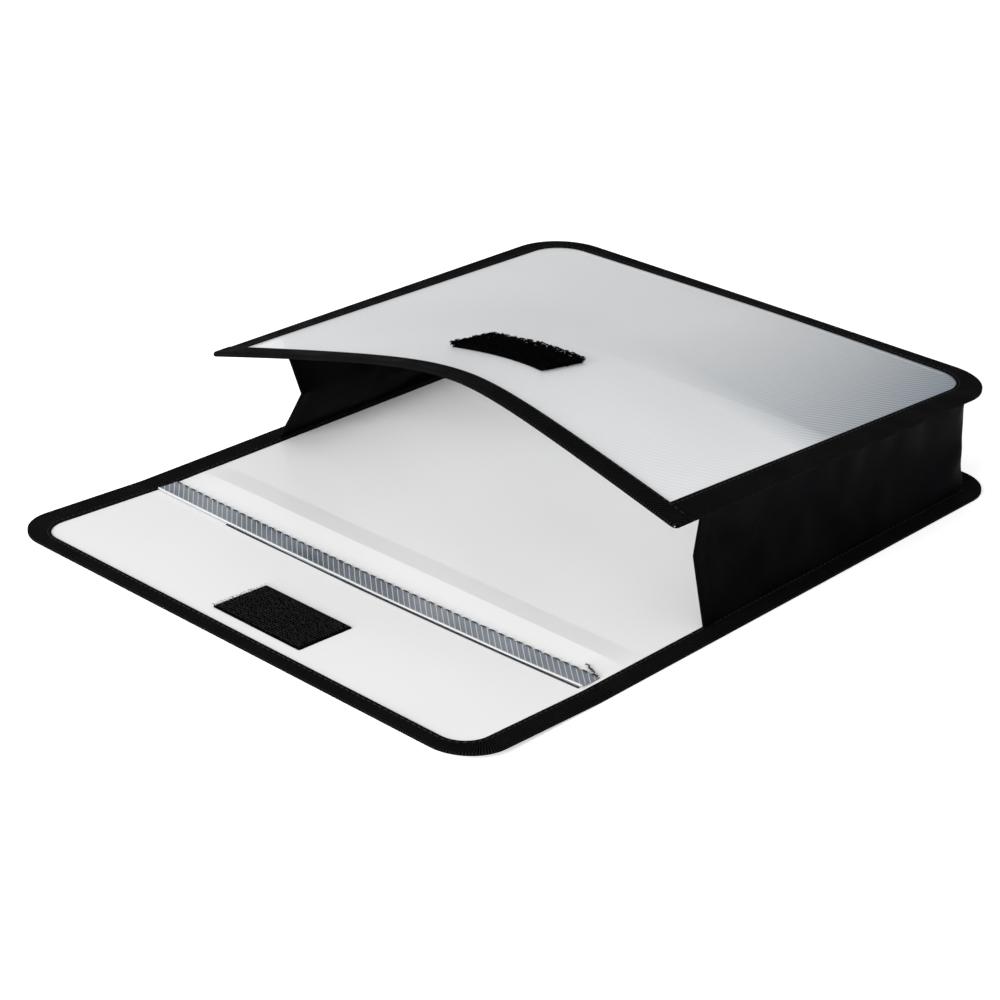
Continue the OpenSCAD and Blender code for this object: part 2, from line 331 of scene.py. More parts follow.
def mottleGroup():  # slow cloudy variation from 0 to 1, and a fine grain
    tree, given, made = startGroup("softMottle", {"Size": 20.0, "Grain": 900.0}, ["Cloud", "Grain"])
    for output, detail in (("Cloud", 0.5), ("Grain", 2.0)):
        noise = addNode(tree, "ShaderNodeTexNoise", Detail=detail)
        tree.links.new(given.outputs["Vector"], noise.inputs["Vector"])
        tree.links.new(given.outputs["Size" if output == "Cloud" else "Grain"], noise.inputs["Scale"])
        spread = addNode(tree, "ShaderNodeMapRange", interpolation_type="SMOOTHERSTEP")
        spread.inputs["From Min"].default_value = 0.2
        spread.inputs["From Max"].default_value = 0.8
        tree.links.new(noise.outputs["Fac"], spread.inputs["Value"])
        tree.links.new(spread.outputs["Result"], made.inputs[output])
    return tree


def ribGroup():  # even ribs across one axis of the vector, with an uneven hand
    tree, given, made = startGroup("evenRibs", {"Pitch": 0.001, "Waver": 0.1}, ["Rib"])
    across = axisOf(tree, given.outputs["Vector"], 0)
    noise = addNode(tree, "ShaderNodeTexNoise", Scale=160.0, Detail=2.0)
    tree.links.new(given.outputs["Vector"], noise.inputs["Vector"])
    turn = math2(tree, "DIVIDE", across, given.outputs["Pitch"])
    waver = math2(tree, "MULTIPLY", noise.outputs["Fac"], given.outputs["Waver"])
    turn = math2(tree, "MULTIPLY", math2(tree, "ADD", turn, waver), math.tau)
    wave = math2(tree, "SINE", turn)
    tree.links.new(math2(tree, "ADD", math2(tree, "MULTIPLY", wave, 0.5), 0.5), made.inputs["Rib"])
    return tree


def weaveGroup():  # plain weave: two crossed threads, over and under
    tree, given, made = startGroup("plainWeave", {"Pitch": 0.0006}, ["Weave"])
    waves = []
    for axis in (0, 1, 2):
        turn = math2(tree, "DIVIDE", axisOf(tree, given.outputs["Vector"], axis), given.outputs["Pitch"])
        waves.append(math2(tree, "SINE", math2(tree, "MULTIPLY", turn, math.tau)))
    product = math2(tree, "MULTIPLY", waves[0], waves[1])
    product = math2(tree, "ADD", product, math2(tree, "MULTIPLY", waves[1], waves[2]))
    product = math2(tree, "ADD", product, math2(tree, "MULTIPLY", waves[0], waves[2]))
    tree.links.new(math2(tree, "ADD", math2(tree, "MULTIPLY", product, 0.33), 0.5), made.inputs["Weave"])
    return tree


def paintedShadeGroup():  # 0 to 1 towards the right rear, behind a line across; the mask of a painted shade on the cover
    tree, given, made = startGroup("cornerRamp", {"Line": 0.045, "Soft": 0.03}, ["Share"])
    side = math2(tree, "DIVIDE", axisOf(tree, given.outputs["Vector"], 0), 0.17)
    side = math2(tree, "POWER", math2(tree, "MINIMUM", math2(tree, "MAXIMUM", side, 0.0), 1.0), 1.4)
    behind = math2(tree, "SUBTRACT", axisOf(tree, given.outputs["Vector"], 1), given.outputs["Line"])
    edge = math2(tree, "DIVIDE", behind, given.outputs["Soft"])
    edge = math2(tree, "MINIMUM", math2(tree, "MAXIMUM", edge, 0.0), 1.0)
    further = math2(tree, "ADD", math2(tree, "MULTIPLY", behind, 2.8), 0.5)
    share = math2(tree, "MULTIPLY", math2(tree, "MULTIPLY", side, edge), further)
    tree.links.new(share, made.inputs["Share"])
    return tree


mottle = mottleGroup()
paintedShadeRamp = paintedShadeGroup()
ribs = ribGroup()
weave = weaveGroup()


class Finish:  # one material being put together
    def __init__(self, name, **values):
        self.material = bpy.data.materials.new(name)
        self.material.use_nodes = True
        self.tree = self.material.node_tree
        self.shader = self.tree.nodes["Principled BSDF"]
        self.heights = []
        for key, value in values.items():
            self.shader.inputs[key.replace("_", " ")].default_value = value
        self.place = self.tree.nodes.new("ShaderNodeTexCoord").outputs["Object"]

    def uv(self):
        return addNode(self.tree, "ShaderNodeUVMap", uv_map="Along").outputs["UV"]

    def group(self, group, vector=None, turn=None, **numbers):
        node = self.tree.nodes.new("ShaderNodeGroup")
        node.node_tree = group
        vector = vector or self.place
        if turn is not None:
            mapping = self.tree.nodes.new("ShaderNodeMapping")
            mapping.inputs["Rotation"].default_value = turn
            self.tree.links.new(vector, mapping.inputs["Vector"])
            vector = mapping.outputs["Vector"]
        self.tree.links.new(vector, node.inputs["Vector"])
        for key, value in numbers.items():
            node.inputs[key].default_value = value
        return node

    def colours(self, mask, low, high):
        mix = self.tree.nodes.new("ShaderNodeMix")
        mix.data_type = "RGBA"
        self.tree.links.new(mask, mix.inputs["Factor"])
        mix.inputs["A"].default_value = (*low, 1)
        mix.inputs["B"].default_value = (*high, 1)
        return mix.outputs["Result"]

    def mixed(self, mask, base, colour):  # towards one colour where the mask is 1
        mix = self.tree.nodes.new("ShaderNodeMix")
        mix.data_type = "RGBA"
        self.tree.links.new(mask, mix.inputs["Factor"])
        self.tree.links.new(base, mix.inputs["A"])
        mix.inputs["B"].default_value = (*colour, 1)
        return mix.outputs["Result"]

    def between(self, mask, low, high):
        spread = self.tree.nodes.new("ShaderNodeMapRange")
        self.tree.links.new(mask, spread.inputs["Value"])
        spread.inputs["To Min"].default_value = low
        spread.inputs["To Max"].default_value = high
        return spread.outputs["Result"]

    def set(self, socket, value):
        self.tree.links.new(value, self.shader.inputs[socket])

    def height(self, value, amount):
        self.heights.append(math2(self.tree, "MULTIPLY", value, amount))

    def done(self, strength=1.0, distance=0.001):
        if self.heights:
            total = self.heights[0]
            for value in self.heights[1:]:
                total = math2(self.tree, "ADD", total, value)
            bump = addNode(self.tree, "ShaderNodeBump", Strength=strength, Distance=distance)
            self.tree.links.new(total, bump.inputs["Height"])
            self.tree.links.new(bump.outputs["Normal"], self.shader.inputs["Normal"])
        return self.material


def whiteSheet():
    finish = Finish("whiteSheet", Roughness=0.3, IOR=1.49, Specular_IOR_Level=0.4)
    cloud = finish.group(mottle, Size=14.0, Grain=700.0)
    tint = finish.colours(cloud.outputs["Cloud"], (0.80, 0.80, 0.80), (0.81, 0.81, 0.81))
    finish.set("Base Color", tint)
    finish.set("Roughness", finish.between(cloud.outputs["Grain"], 0.3, 0.38))
    finish.height(cloud.outputs["Grain"], 0.02)
    return finish.done(0.35)


def ribbedSheet():
    finish = Finish("ribbedSheet", Roughness=0.34, IOR=1.49, Specular_IOR_Level=0.5, Alpha=0.8)
    cloud = finish.group(mottle, Size=10.0, Grain=1100.0)
    rib = finish.group(ribs, turn=(0, 0, math.radians(49)), Pitch=3.2 * mm, Waver=0.04)
    far = finish.group(paintedShadeRamp)  # painted shade: the sheet is darker, bluer and clearer towards the right rear corner
    pale = finish.colours(cloud.outputs["Cloud"], (0.80, 0.82, 0.84), (0.84, 0.855, 0.865))
    # the dark bluish colour mixed in here is painted shade
    finish.set("Base Color", finish.mixed(far.outputs["Share"], pale, (0.16, 0.21, 0.27)))
    finish.set("Roughness", finish.between(cloud.outputs["Grain"], 0.3, 0.4))
    paintedShadeShare = math2(finish.tree, "MULTIPLY", far.outputs["Share"], 0.30)
    depth = math2(finish.tree, "ADD", paintedShadeShare, 0.05)  # the ribs show more where the painted shade makes the sheet clear
    body = math2(finish.tree, "SUBTRACT", 0.68, paintedShadeShare)
    body = math2(finish.tree, "ADD", body, math2(finish.tree, "MULTIPLY", rib.outputs["Rib"], depth))
    ray = finish.tree.nodes.new("ShaderNodeLightPath")  # the sheet lets light through to the inside
    passing = finish.between(ray.outputs["Is Camera Ray"], 0.25, 1.0)
    finish.set("Alpha", math2(finish.tree, "MULTIPLY", body, passing))
    finish.height(rib.outputs["Rib"], 0.4)
    finish.height(cloud.outputs["Grain"], 0.04)
    return finish.done(0.2, 0.0006)


def blackTape(name, pitch, low, high):
    finish = Finish(name, Roughness=0.85, Specular_IOR_Level=0.02)
    rib = finish.group(ribs, finish.uv(), turn=(0, 0, 0.35), Pitch=pitch, Waver=0.3)
    thread = finish.group(weave, Pitch=0.55 * mm)
    cloud = finish.group(mottle, Size=60.0, Grain=2500.0)
    sharp = math2(finish.tree, "POWER", rib.outputs["Rib"], 2.0)
    # painted highlight and shade: the rib crests are lighter in colour than the grooves between them
    finish.set("Base Color", finish.colours(sharp, low, high))
    finish.set("Roughness", finish.between(cloud.outputs["Cloud"], 0.7, 0.95))
    finish.height(rib.outputs["Rib"], 1.2)
    finish.height(thread.outputs["Weave"], 0.25)
    finish.height(cloud.outputs["Grain"], 0.2)
    return finish.done(0.9, 0.0006)


def nylonCloth():
    finish = Finish("nylonCloth", Roughness=0.5, Specular_IOR_Level=0.012)
    thread = finish.group(weave, Pitch=0.4 * mm)
    cloud = finish.group(mottle, Size=35.0, Grain=2000.0)
    tint = finish.colours(cloud.outputs["Cloud"], (0.0008, 0.0008, 0.0011), (0.003, 0.003, 0.0038))
    finish.set("Base Color", tint)
    finish.set("Roughness", finish.between(cloud.outputs["Cloud"], 0.42, 0.6))
    finish.height(thread.outputs["Weave"], 0.3)
    finish.height(cloud.outputs["Cloud"], 0.8)
    return finish.done(0.3, 0.0006)


def sewingThread():
    finish = Finish("sewingThread", Roughness=0.7, Specular_IOR_Level=0.15)
    twist = finish.group(ribs, turn=(0.4, 0.7, 0.8), Pitch=0.35 * mm, Waver=0.2)
    tint = finish.colours(twist.outputs["Rib"], (0.006, 0.006, 0.006), (0.03, 0.03, 0.03))
    finish.set("Base Color", tint)
    finish.height(twist.outputs["Rib"], 0.4)
    return finish.done(0.5, 0.0003)


def clearVinyl():
    finish = Finish("clearVinyl", Roughness=0.16, IOR=1.5, Specular_IOR_Level=0.5, Alpha=0.6)
    line = finish.group(ribs, turn=(0, 0, math.radians(-48)), Pitch=2.75 * mm, Waver=0.06)
    cloud = finish.group(mottle, Size=22.0, Grain=900.0)
    sharp = math2(finish.tree, "POWER", line.outputs["Rib"], 22.0)
    across = axisOf(finish.tree, finish.uv(), 1)
    rim = math2(finish.tree, "GREATER_THAN", across, 12.9 * mm)  # the free edge catches the light
    paintedGlint = math2(finish.tree, "MAXIMUM", sharp, rim)
    tint = finish.colours(cloud.outputs["Cloud"], (0.12, 0.145, 0.18), (0.27, 0.30, 0.34))
    # painted highlights: the rib lines and the free edge are mixed towards a pale colour and made less clear
    finish.set("Base Color", finish.mixed(paintedGlint, tint, (0.72, 0.74, 0.77)))
    finish.set("Alpha", finish.between(paintedGlint, 0.72, 0.96))
    finish.height(sharp, 0.4)
    return finish.done(0.4, 0.0004)


def fuzz(name, colour, gloss, roughness):
    finish = Finish(name, Roughness=roughness, Specular_IOR_Level=gloss)
    cloud = finish.group(mottle, Size=250.0, Grain=2500.0)
    finish.set("Base Color", finish.colours(cloud.outputs["Cloud"], [c * 0.4 for c in colour], colour))
    finish.set("Roughness", finish.between(cloud.outputs["Grain"], roughness - 0.08, roughness + 0.08))
    finish.height(cloud.outputs["Grain"], 0.6)
    return finish.done(0.6, 0.0004)


finishes = {
    "sheet": whiteSheet(),
    "cover_sheet": ribbedSheet(),
    "tape": blackTape("grosgrainTape", 1.5 * mm, (0.0003, 0.0003, 0.0004), (0.011, 0.011, 0.011)),
    "gusset": nylonCloth(),
    "thread": sewingThread(),
    "clear_strip": clearVinyl(),
    "hook": fuzz("hookPlastic", (0.008, 0.008, 0.009), 0.18, 0.4),
    "loop": fuzz("loopPile", (0.0015, 0.0015, 0.002), 0.03, 0.9),
}


def finished(obj, slot, nodes=(), finish=None):
    obj.data.materials.clear()
    obj.data.materials.append(finish or finishes[slot])
    if nodes:
        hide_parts(*nodes)
    return obj


for nodeName, nodeObject in frame["nodes"].items():  # every CAD node gets its finish too
    slotOf = {part["node"]: part["material_slot"] for part in frame["record"]["subparts"]}
    nodeObject.data.materials.clear()
    nodeObject.data.materials.append(finishes[slotOf[nodeName]])
print("materials ready")

# camera and light

camera = {
    "place": (866.9 * mm, -968.2 * mm, 633.0 * mm),
    "yaw": 42.308,
    "pitch": 25.75,
    "roll": 1.578,
    "lens": 91.69,
}
bpy.ops.object.camera_add(location=camera["place"])
view = bpy.context.object
turnTo = Matrix.Rotation(math.radians(camera["yaw"]), 4, "Z")
tipTo = Matrix.Rotation(math.radians(90 - camera["pitch"]), 4, "X")
rollTo = Matrix.Rotation(math.radians(camera["roll"]), 4, "Z")
view.matrix_world = Matrix.Translation(camera["place"]) @ turnTo @ tipTo @ rollTo
view.data.lens = camera["lens"]
view.data.sensor_width = 36
view.data.clip_start = 0.01
bpy.context.scene.camera = view
bpy.context.scene.view_settings.view_transform = "Standard"

lights = {  # the broad low panel in front reaches into the open mouth
    "frontPanel": {"place": (0.12, -1.8, 0.6), "aim": (0, 0, 0.03), "size": 1.1, "power": 52},
    "topPanel": {"place": (-0.5, 0.3, 1.4), "aim": (-0.05, 0.05, 0.05), "size": 1.2, "power": 4},
}
for lightName, values in lights.items():
    bpy.ops.object.light_add(type="AREA", location=values["place"])
    lamp = bpy.context.object
    lamp.name = lightName
    lamp.data.size = values["size"]
    lamp.data.energy = values["power"]
    away = Vector(values["place"]) - Vector(values["aim"])
    lamp.rotation_euler = away.to_track_quat("Z", "Y").to_euler()

world = bpy.data.worlds.new("studio")
bpy.context.scene.world = world
world.use_nodes = True
ambient = world.node_tree.nodes["Background"]
ambient.inputs["Color"].default_value = (1, 1, 1, 1)
seen = world.node_tree.nodes.new("ShaderNodeLightPath")
strength = world.node_tree.nodes.new("ShaderNodeMapRange")  # a white backdrop, but a softer fill
strength.inputs["To Min"].default_value = 0.5
strength.inputs["To Max"].default_value = 1.0
world.node_tree.links.new(seen.outputs["Is Camera Ray"], strength.inputs["Value"])
world.node_tree.links.new(strength.outputs["Result"], ambient.inputs["Strength"])

floor = flatPiece("floor", -3, 3, -3, 3, -0.0002)
floorFinish = Finish("paleFloor", Roughness=0.9, Specular_IOR_Level=0.0,
                     Emission_Color=(1, 1, 1, 1), Emission_Strength=0.5)
floorCloud = floorFinish.group(mottle, Size=1.5, Grain=60.0)
floorTint = floorFinish.colours(floorCloud.outputs["Cloud"], (0.93, 0.93, 0.93), (0.95, 0.95, 0.95))
floorFinish.set("Base Color", floorTint)
floor.data.materials.append(floorFinish.done())

# back panel, band and flap: one sheet, parted under the clear strip

sheet = {
    "thickness": 0.6 * mm,
    "edge": 0.9 * mm,  # how far the sheet stops short of the tape's outer edge
    "cornerRadius": 26 * mm,
    "partY": hingeY + 10 * mm,
    "rise": math.radians(2.4),  # tilt of the flap
    "ridgeY": foldY - 15.7 * mm,  # the sheet keeps a low ridge from being folded
    "ridgeHeight": 1.0 * mm,
    "ridgeFront": 17 * mm,  # run of its front slope
}
flapFarY = hingeY - flapLength


def tiltFlap(obj):  # lays a flat piece on the raised flap
    points = coordinates(obj)
    past = np.clip(hingeY - points[:, 1], 0, None)
    points[:, 2] += np.where(past > 0, past * math.sin(sheet["rise"]), 0)
    setCoordinates(obj, points)


def wrinkleSheet(obj, amount, seed):
    points = coordinates(obj)
    x, y = points[:, 0], points[:, 1]
    fromTape = np.minimum(halfWidth - 16 * mm - np.abs(x), 60 * mm) / (60 * mm)
    points[:, 2] += amount * ripple(x, y, 0.11, seed) * np.clip(fromTape, 0, 1)
    ridge = np.interp(y, [sheet["ridgeY"] - sheet["ridgeFront"], sheet["ridgeY"], foldY], [0, 1, 0])
    fromSide = np.clip((halfWidth - 13 * mm - np.abs(x)) / (16 * mm), 0, 1)
    points[:, 2] += sheet["ridgeHeight"] * ridge * fromSide
    setCoordinates(obj, points)


backSheet = flatPiece("backSheet", -halfWidth + sheet["edge"], halfWidth - sheet["edge"],
                      sheet["partY"], rearY - sheet["edge"], sheetMiddle)
roundCorners(backSheet, lambda co: co.y > 0, sheet["cornerRadius"])
creases = [sheet["ridgeY"] + step * mm for step in (-0.7, 0, 0.7)]
foldLines = [foldY + step * mm for step in range(-5, 6)]  # the sheet and its tape bend at the same lines
hingeLines = [hingeY + step * mm for step in range(-4, 5)]
cut(backSheet, 1, spaced(sheet["partY"], foldY - 20 * mm, 4 * mm) + creases + foldLines
    + spaced(foldY + 5 * mm, rearY, 8 * mm))
cut(backSheet, 0, spaced(-halfWidth, halfWidth, 8 * mm))
wrinkleSheet(backSheet, 0.35 * mm, 3)
thicken(backSheet, sheet["thickness"])
smooth(backSheet)
finished(backSheet, "sheet", ["back_panel", "band_panel"])
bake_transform(backSheet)

flapSheet = flatPiece("flapSheet", -halfWidth + sheet["edge"], halfWidth - sheet["edge"],
                      flapFarY + sheet["edge"], sheet["partY"], sheetMiddle)
roundCorners(flapSheet, lambda co: co.y < hingeY - 20 * mm, sheet["cornerRadius"])
cut(flapSheet, 1, spaced(flapFarY, hingeY - 4 * mm, 7 * mm) + hingeLines)
cut(flapSheet, 0, spaced(-halfWidth, halfWidth, 8 * mm))
wrinkleSheet(flapSheet, 0.45 * mm, 8)
thicken(flapSheet, sheet["thickness"])
tiltFlap(flapSheet)
smooth(flapSheet)
finished(flapSheet, "sheet", ["flap_panel"])
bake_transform(flapSheet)
print("sheets made")

# binding tape round the back and the flap

tape = {
    "thickness": tapeTop,
    "sideWidth": 15 * mm,
    "rightWidth": 12.6 * mm,  # the tape shows less of itself on this side
    "flapFrontWidth": 10 * mm,
    "softEdge": 0.7 * mm,
    "station": 6 * mm,
}


def tapeRing(name, half, nearY, farY, radius, width, leftWidth, rightWidth):
    # a ring of one width, open at nearY; then its sides take their own widths
    reach = 30 * mm if farY > nearY else -30 * mm
    low, high = sorted((nearY - reach, farY))
    obj = flatPiece(name, -half, half, low, high)
    roundCorners(obj, lambda co: abs(co.y - farY) < 1 * mm, radius, 16)
    hollow(obj, width)
    inner = radius - width  # corner radius of the inner outline
    out = 1 if farY > nearY else -1

    def sideways(x, y, z):
        dx = np.clip(np.abs(x) - (half - radius), 0, None)
        dy = np.clip(out * (y - farY) + radius, 0, None)
        onInner = (np.hypot(dx, dy) < inner + 0.5 * mm) & (np.abs(x) < half - 1 * mm)
        change = np.where(x < 0, leftWidth - width, width - rightWidth)
        share = np.clip((np.abs(x) - 0.3 * half) / (0.7 * half - width), 0, 1)
        return (np.where(onInner, change * share, 0), y * 0, z * 0)

    shift(obj, sideways)
    cut(obj, 1, [nearY], clear="low" if farY > nearY else "high")
    return obj


backTape = tapeRing("backTape", halfWidth, sheet["partY"], rearY, sheet["cornerRadius"],
                    tape["sideWidth"], tape["sideWidth"], tape["rightWidth"])
cut(backTape, 1, foldLines + spaced(foldY + 5 * mm, rearY, tape["station"]))
cut(backTape, 0, spaced(-halfWidth, halfWidth, tape["station"]))
thicken(backTape, tape["thickness"], tape["softEdge"], 3)
shift(backTape, lambda x, y, z: (x * 0, y * 0, z * 0 + sheetMiddle))
mapAlong(backTape, edgePath(0, sheet["cornerRadius"], sheet["partY"], rearY))
smooth(backTape)
finished(backTape, "tape", ["back_binding", "band_binding_left", "band_binding_right"])
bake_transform(backTape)

flapTape = tapeRing("flapTape", halfWidth, sheet["partY"], flapFarY, sheet["cornerRadius"],
                    tape["flapFrontWidth"], tape["sideWidth"], tape["rightWidth"])
cut(flapTape, 1, hingeLines + spaced(flapFarY, hingeY - 4 * mm, tape["station"]))
cut(flapTape, 0, spaced(-halfWidth, halfWidth, tape["station"]))
thicken(flapTape, tape["thickness"], tape["softEdge"], 3)
shift(flapTape, lambda x, y, z: (x * 0, y * 0, z * 0 + sheetMiddle))
mapAlong(flapTape, edgePath(0, sheet["cornerRadius"], sheet["partY"], flapFarY))
tiltFlap(flapTape)
smooth(flapTape)
finished(flapTape, "tape", ["flap_binding"])
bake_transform(flapTape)
print("back tapes made")

# front cover

coverSheet = flatPiece("coverSheet", -coverHalf + sheet["edge"], coverHalf - sheet["edge"],
                       mouthY + sheet["edge"], coverRear - sheet["edge"])
roundCorners(coverSheet, lambda co: co.y > 0, cover["cornerRadius"])
cut(coverSheet, 0, spaced(-halfWidth, halfWidth, 4 * mm))
cut(coverSheet, 1, spaced(mouthY, rearY, 15 * mm))
liftToCover(coverSheet)
thicken(coverSheet, sheet["thickness"])
smooth(coverSheet)
finished(coverSheet, "cover_sheet", ["front_cover"])
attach(coverSheet, "cover")

coverTape = tapeRing("coverTape", coverHalf, mouthY + 5 * mm, coverRear, cover["cornerRadius"],
                     cover["tapeWidth"], cover["tapeWidth"], cover["rightTape"])
cut(coverTape, 1, spaced(mouthY, rearY, tape["station"]))
cut(coverTape, 0, spaced(-halfWidth, halfWidth, tape["station"]))
thicken(coverTape, tape["thickness"], tape["softEdge"], 3)
mapAlong(coverTape, edgePath(0, cover["cornerRadius"], mouthY, coverRear, coverHalf))
liftToCover(coverTape)
smooth(coverTape)
finished(coverTape, "tape", ["cover_binding"])
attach(coverTape, "cover")

mouthTape = flatPiece("mouthTape", -coverHalf, coverHalf, mouthY, mouthY + cover["mouthWidth"])
roundCorners(mouthTape, lambda co: co.y < mouthY + 1 * mm, 3.5 * mm, 6)
cut(mouthTape, 0, spaced(-coverHalf, coverHalf, 4 * mm))
thicken(mouthTape, tape["thickness"] + 1.2 * mm, 1.3 * mm, 4)
mapAlong(mouthTape, [(-coverHalf - 1 * mm, mouthY), (coverHalf + 1 * mm, mouthY)])
liftToCover(mouthTape)
smooth(mouthTape)
finished(mouthTape, "tape", ["mouth_binding"])
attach(mouthTape, "cover")
print("cover made")

# stitching

stitch = {
    "length": 3.0 * mm,
    "width": 0.55 * mm,
    "height": 0.4 * mm,
    "pitch": 3.8 * mm,
    "fromTapeEdge": 2.0 * mm,
}


def stitchShape():  # one stitch, pulled down at both ends
    bpy.ops.object.select_all(action="DESELECT")
    bpy.ops.mesh.primitive_uv_sphere_add(segments=8, ring_count=6, radius=0.5)
    obj = bpy.context.object
    obj.rotation_euler = (0, math.pi / 2, 0)
    bpy.ops.object.transform_apply(location=False, rotation=True, scale=False)
    obj.scale = (stitch["length"], stitch["width"], stitch["height"])
    bpy.ops.object.transform_apply(location=False, rotation=False, scale=True)
    shift(obj, lambda x, y, z: (x * 0, y * 0, -0.25 * stitch["height"] * (2 * x / stitch["length"]) ** 2))
    return obj


def stitchRow(name, path, heights, seed=1, knot=0.0, size=1.0):
    points, turns = along(path, stitch["pitch"] * size)
    rng = np.random.default_rng(seed)
    spots = []
    for step in np.arange(0, knot, 1.1 * mm):  # the seam is sewn back over itself at its end
        x, y = points[-1] - (step, -0.5 * step)
        spots.append((x + 1 * mm, y, heights[0] + 0.3 * mm,
                      rng.normal(-0.2, 0.7), 0, rng.uniform(0.8, 1.5)))
    for height in heights:
        for (x, y), turn in zip(points, turns):
            spots.append((x, y, height, turn + rng.normal(0, 0.05), 0 if height > 0 else math.pi, size))
    return scatter(name, stitchShape(), spots)


halfTape = tape["thickness"] / 2


def sideSeam(path, leftBy, rightBy):  # moves a seam's sides out or in with the tape's edge
    path = np.array(path)
    share = np.clip((np.abs(path[:, 0]) - 0.3 * halfWidth) / (0.6 * halfWidth), 0, 1)
    path[:, 0] += np.where(path[:, 0] < 0, leftBy, rightBy) * share
    return path


seamInset = tape["sideWidth"] - stitch["fromTapeEdge"]
backSeam = sideSeam(edgePath(seamInset, sheet["cornerRadius"], sheet["partY"] + 1 * mm, rearY),
                    0, tape["sideWidth"] - tape["rightWidth"])
backStitches = stitchRow("backStitches", backSeam, [tapeTop], 2)
finished(backStitches, "thread", ["back_binding_seam"])
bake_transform(backStitches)

flapSeam = sideSeam(edgePath(tape["flapFrontWidth"] - stitch["fromTapeEdge"], sheet["cornerRadius"],
                             sheet["partY"] - 2 * mm, flapFarY),
                    tape["sideWidth"] - tape["flapFrontWidth"], tape["flapFrontWidth"] - tape["rightWidth"])
flapStitches = stitchRow("flapStitches", flapSeam, [tapeTop], 3)
tiltFlap(flapStitches)
finished(flapStitches, "thread", ["flap_binding_seam"])
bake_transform(flapStitches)

coverSeam = cover["tapeWidth"] - stitch["fromTapeEdge"]
coverPath = sideSeam(edgePath(coverSeam, cover["cornerRadius"],
                              mouthY + cover["tapeWidth"], coverRear, coverHalf),
                     0, cover["tapeWidth"] - cover["rightTape"])
coverStitches = stitchRow("coverStitches", coverPath, [halfTape, -halfTape], 4)
liftToCover(coverStitches)
finished(coverStitches, "thread", ["cover_binding_seam"])
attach(coverStitches, "cover")

mouthSeamY = mouthY + cover["mouthWidth"] - stitch["fromTapeEdge"]
mouthLine = [(-coverHalf + 4 * mm, mouthSeamY), (coverHalf - 4 * mm, mouthSeamY)]
mouthStitches = stitchRow("mouthStitches", mouthLine, [halfTape + 0.6 * mm, -halfTape - 0.6 * mm], 5)
liftToCover(mouthStitches)
finished(mouthStitches, "thread", ["mouth_binding_seam"])
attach(mouthStitches, "cover")
print("stitching made")

# gusset: one cloth round three sides

gusset = {
    "inset": 11 * mm,
    "frontY": (foldY + 47.5 * mm, foldY + 44 * mm),  # left, right
    "lean": (-2.3 * mm, 7.5 * mm),  # of the upper half
    "pleatFront": (20 * mm, 9.5 * mm),
    "pleatRear": 2.5 * mm,
    "tuck": 4 * mm,  # how much further in the top sits at the rear
    "rows": 14,
    "pitch": 5 * mm,
    "thickness": 0.5 * mm,
    "cut": 76 * mm,  # flat width of the cloth
    "reach": 3 * mm,  # how far the cloth may move as it settles
}


def gussetGrid():
    radius = sheet["cornerRadius"]
    path = edgePath(gusset["inset"], radius, 0, rearY)
    path[0] = (path[0][0], gusset["frontY"][0])
    path[-1] = (path[-1][0], gusset["frontY"][1])
    fine, turns = along(path, gusset["pitch"])
    fine = np.vstack([path[0], fine, path[-1]])
    turns = np.concatenate([[turns[0]], turns, [turns[-1]]])
    lean, front, start = (np.where(fine[:, 0] < 0, *gusset[key])
                          for key in ("lean", "pleatFront", "frontY"))
    sideRun = np.clip((rearY - radius - fine[:, 1]) / (rearY - radius - start), 0, 1)
    depth = gusset["pleatRear"] + (front - gusset["pleatRear"]) * sideRun
    columns = len(fine)
    bpy.ops.object.select_all(action="DESELECT")
    bpy.ops.mesh.primitive_grid_add(x_subdivisions=columns - 1, y_subdivisions=gusset["rows"], size=1)
    obj = bpy.context.object
    obj.name = obj.data.name = "gussetCloth"
    points = coordinates(obj)
    column = np.rint((points[:, 0] + 0.5) * (columns - 1)).astype(int)
    share = points[:, 1] + 0.5
    fold = 1 - np.abs(2 * share - 1)  # 0 at both hems of the cloth, 1 at its middle
    inset = depth[column] * fold + gusset["tuck"] * share * (1 - sideRun[column])
    inward = np.stack([np.sin(turns), -np.cos(turns)], 1)[column]
    low = tapeTop
    x = fine[column, 0] + inward[:, 0] * inset
    y = fine[column, 1] + inward[:, 1] * inset
    y = y - (lean * sideRun)[column] * np.clip(2 * share - 1, 0, 1)
    top = coverHeight(x, y) - halfTape
    z = low + (top - low) * share
    obj.data.vertices.foreach_set("co", np.stack([x, y, z], 1).ravel())
    obj.data.update()
    return obj, share


gussetCloth, clothShare = gussetGrid()
pinned = gussetCloth.vertex_groups.new(name="sewn")
for index, share in enumerate(clothShare):
    sewn = share < 0.001 or share > 0.999
    hemmed = gussetCloth.data.vertices[index].co.y < max(gusset["frontY"]) + 12 * mm
    pinned.add([index], 1.0 if sewn or hemmed else 0.0, "REPLACE")
pick(gussetCloth)
settle = gussetCloth.modifiers.new("Cloth", "CLOTH")
settle.settings.vertex_group_mass = "sewn"
settle.settings.quality = 8
settle.settings.mass = 0.2
settle.settings.tension_stiffness = 25
settle.settings.compression_stiffness = 25
settle.settings.bending_stiffness = 6
settle.settings.effector_weights.gravity = 0.15
settle.settings.air_damping = 3
settle.settings.shrink_min = -0.008  # a little slack, as sewn cloth has
settle.point_cache.frame_start = 1
settle.point_cache.frame_end = 24
before = coordinates(gussetCloth)
for step in range(1, 25):
    bpy.context.scene.frame_set(step)
bpy.ops.object.modifier_apply(modifier="Cloth")
bpy.context.scene.frame_set(1)
moved = coordinates(gussetCloth) - before
length = np.maximum(np.linalg.norm(moved, axis=1), 1e-9)
moved *= (np.minimum(length, gusset["reach"]) / length)[:, None]
setCoordinates(gussetCloth, before + moved)

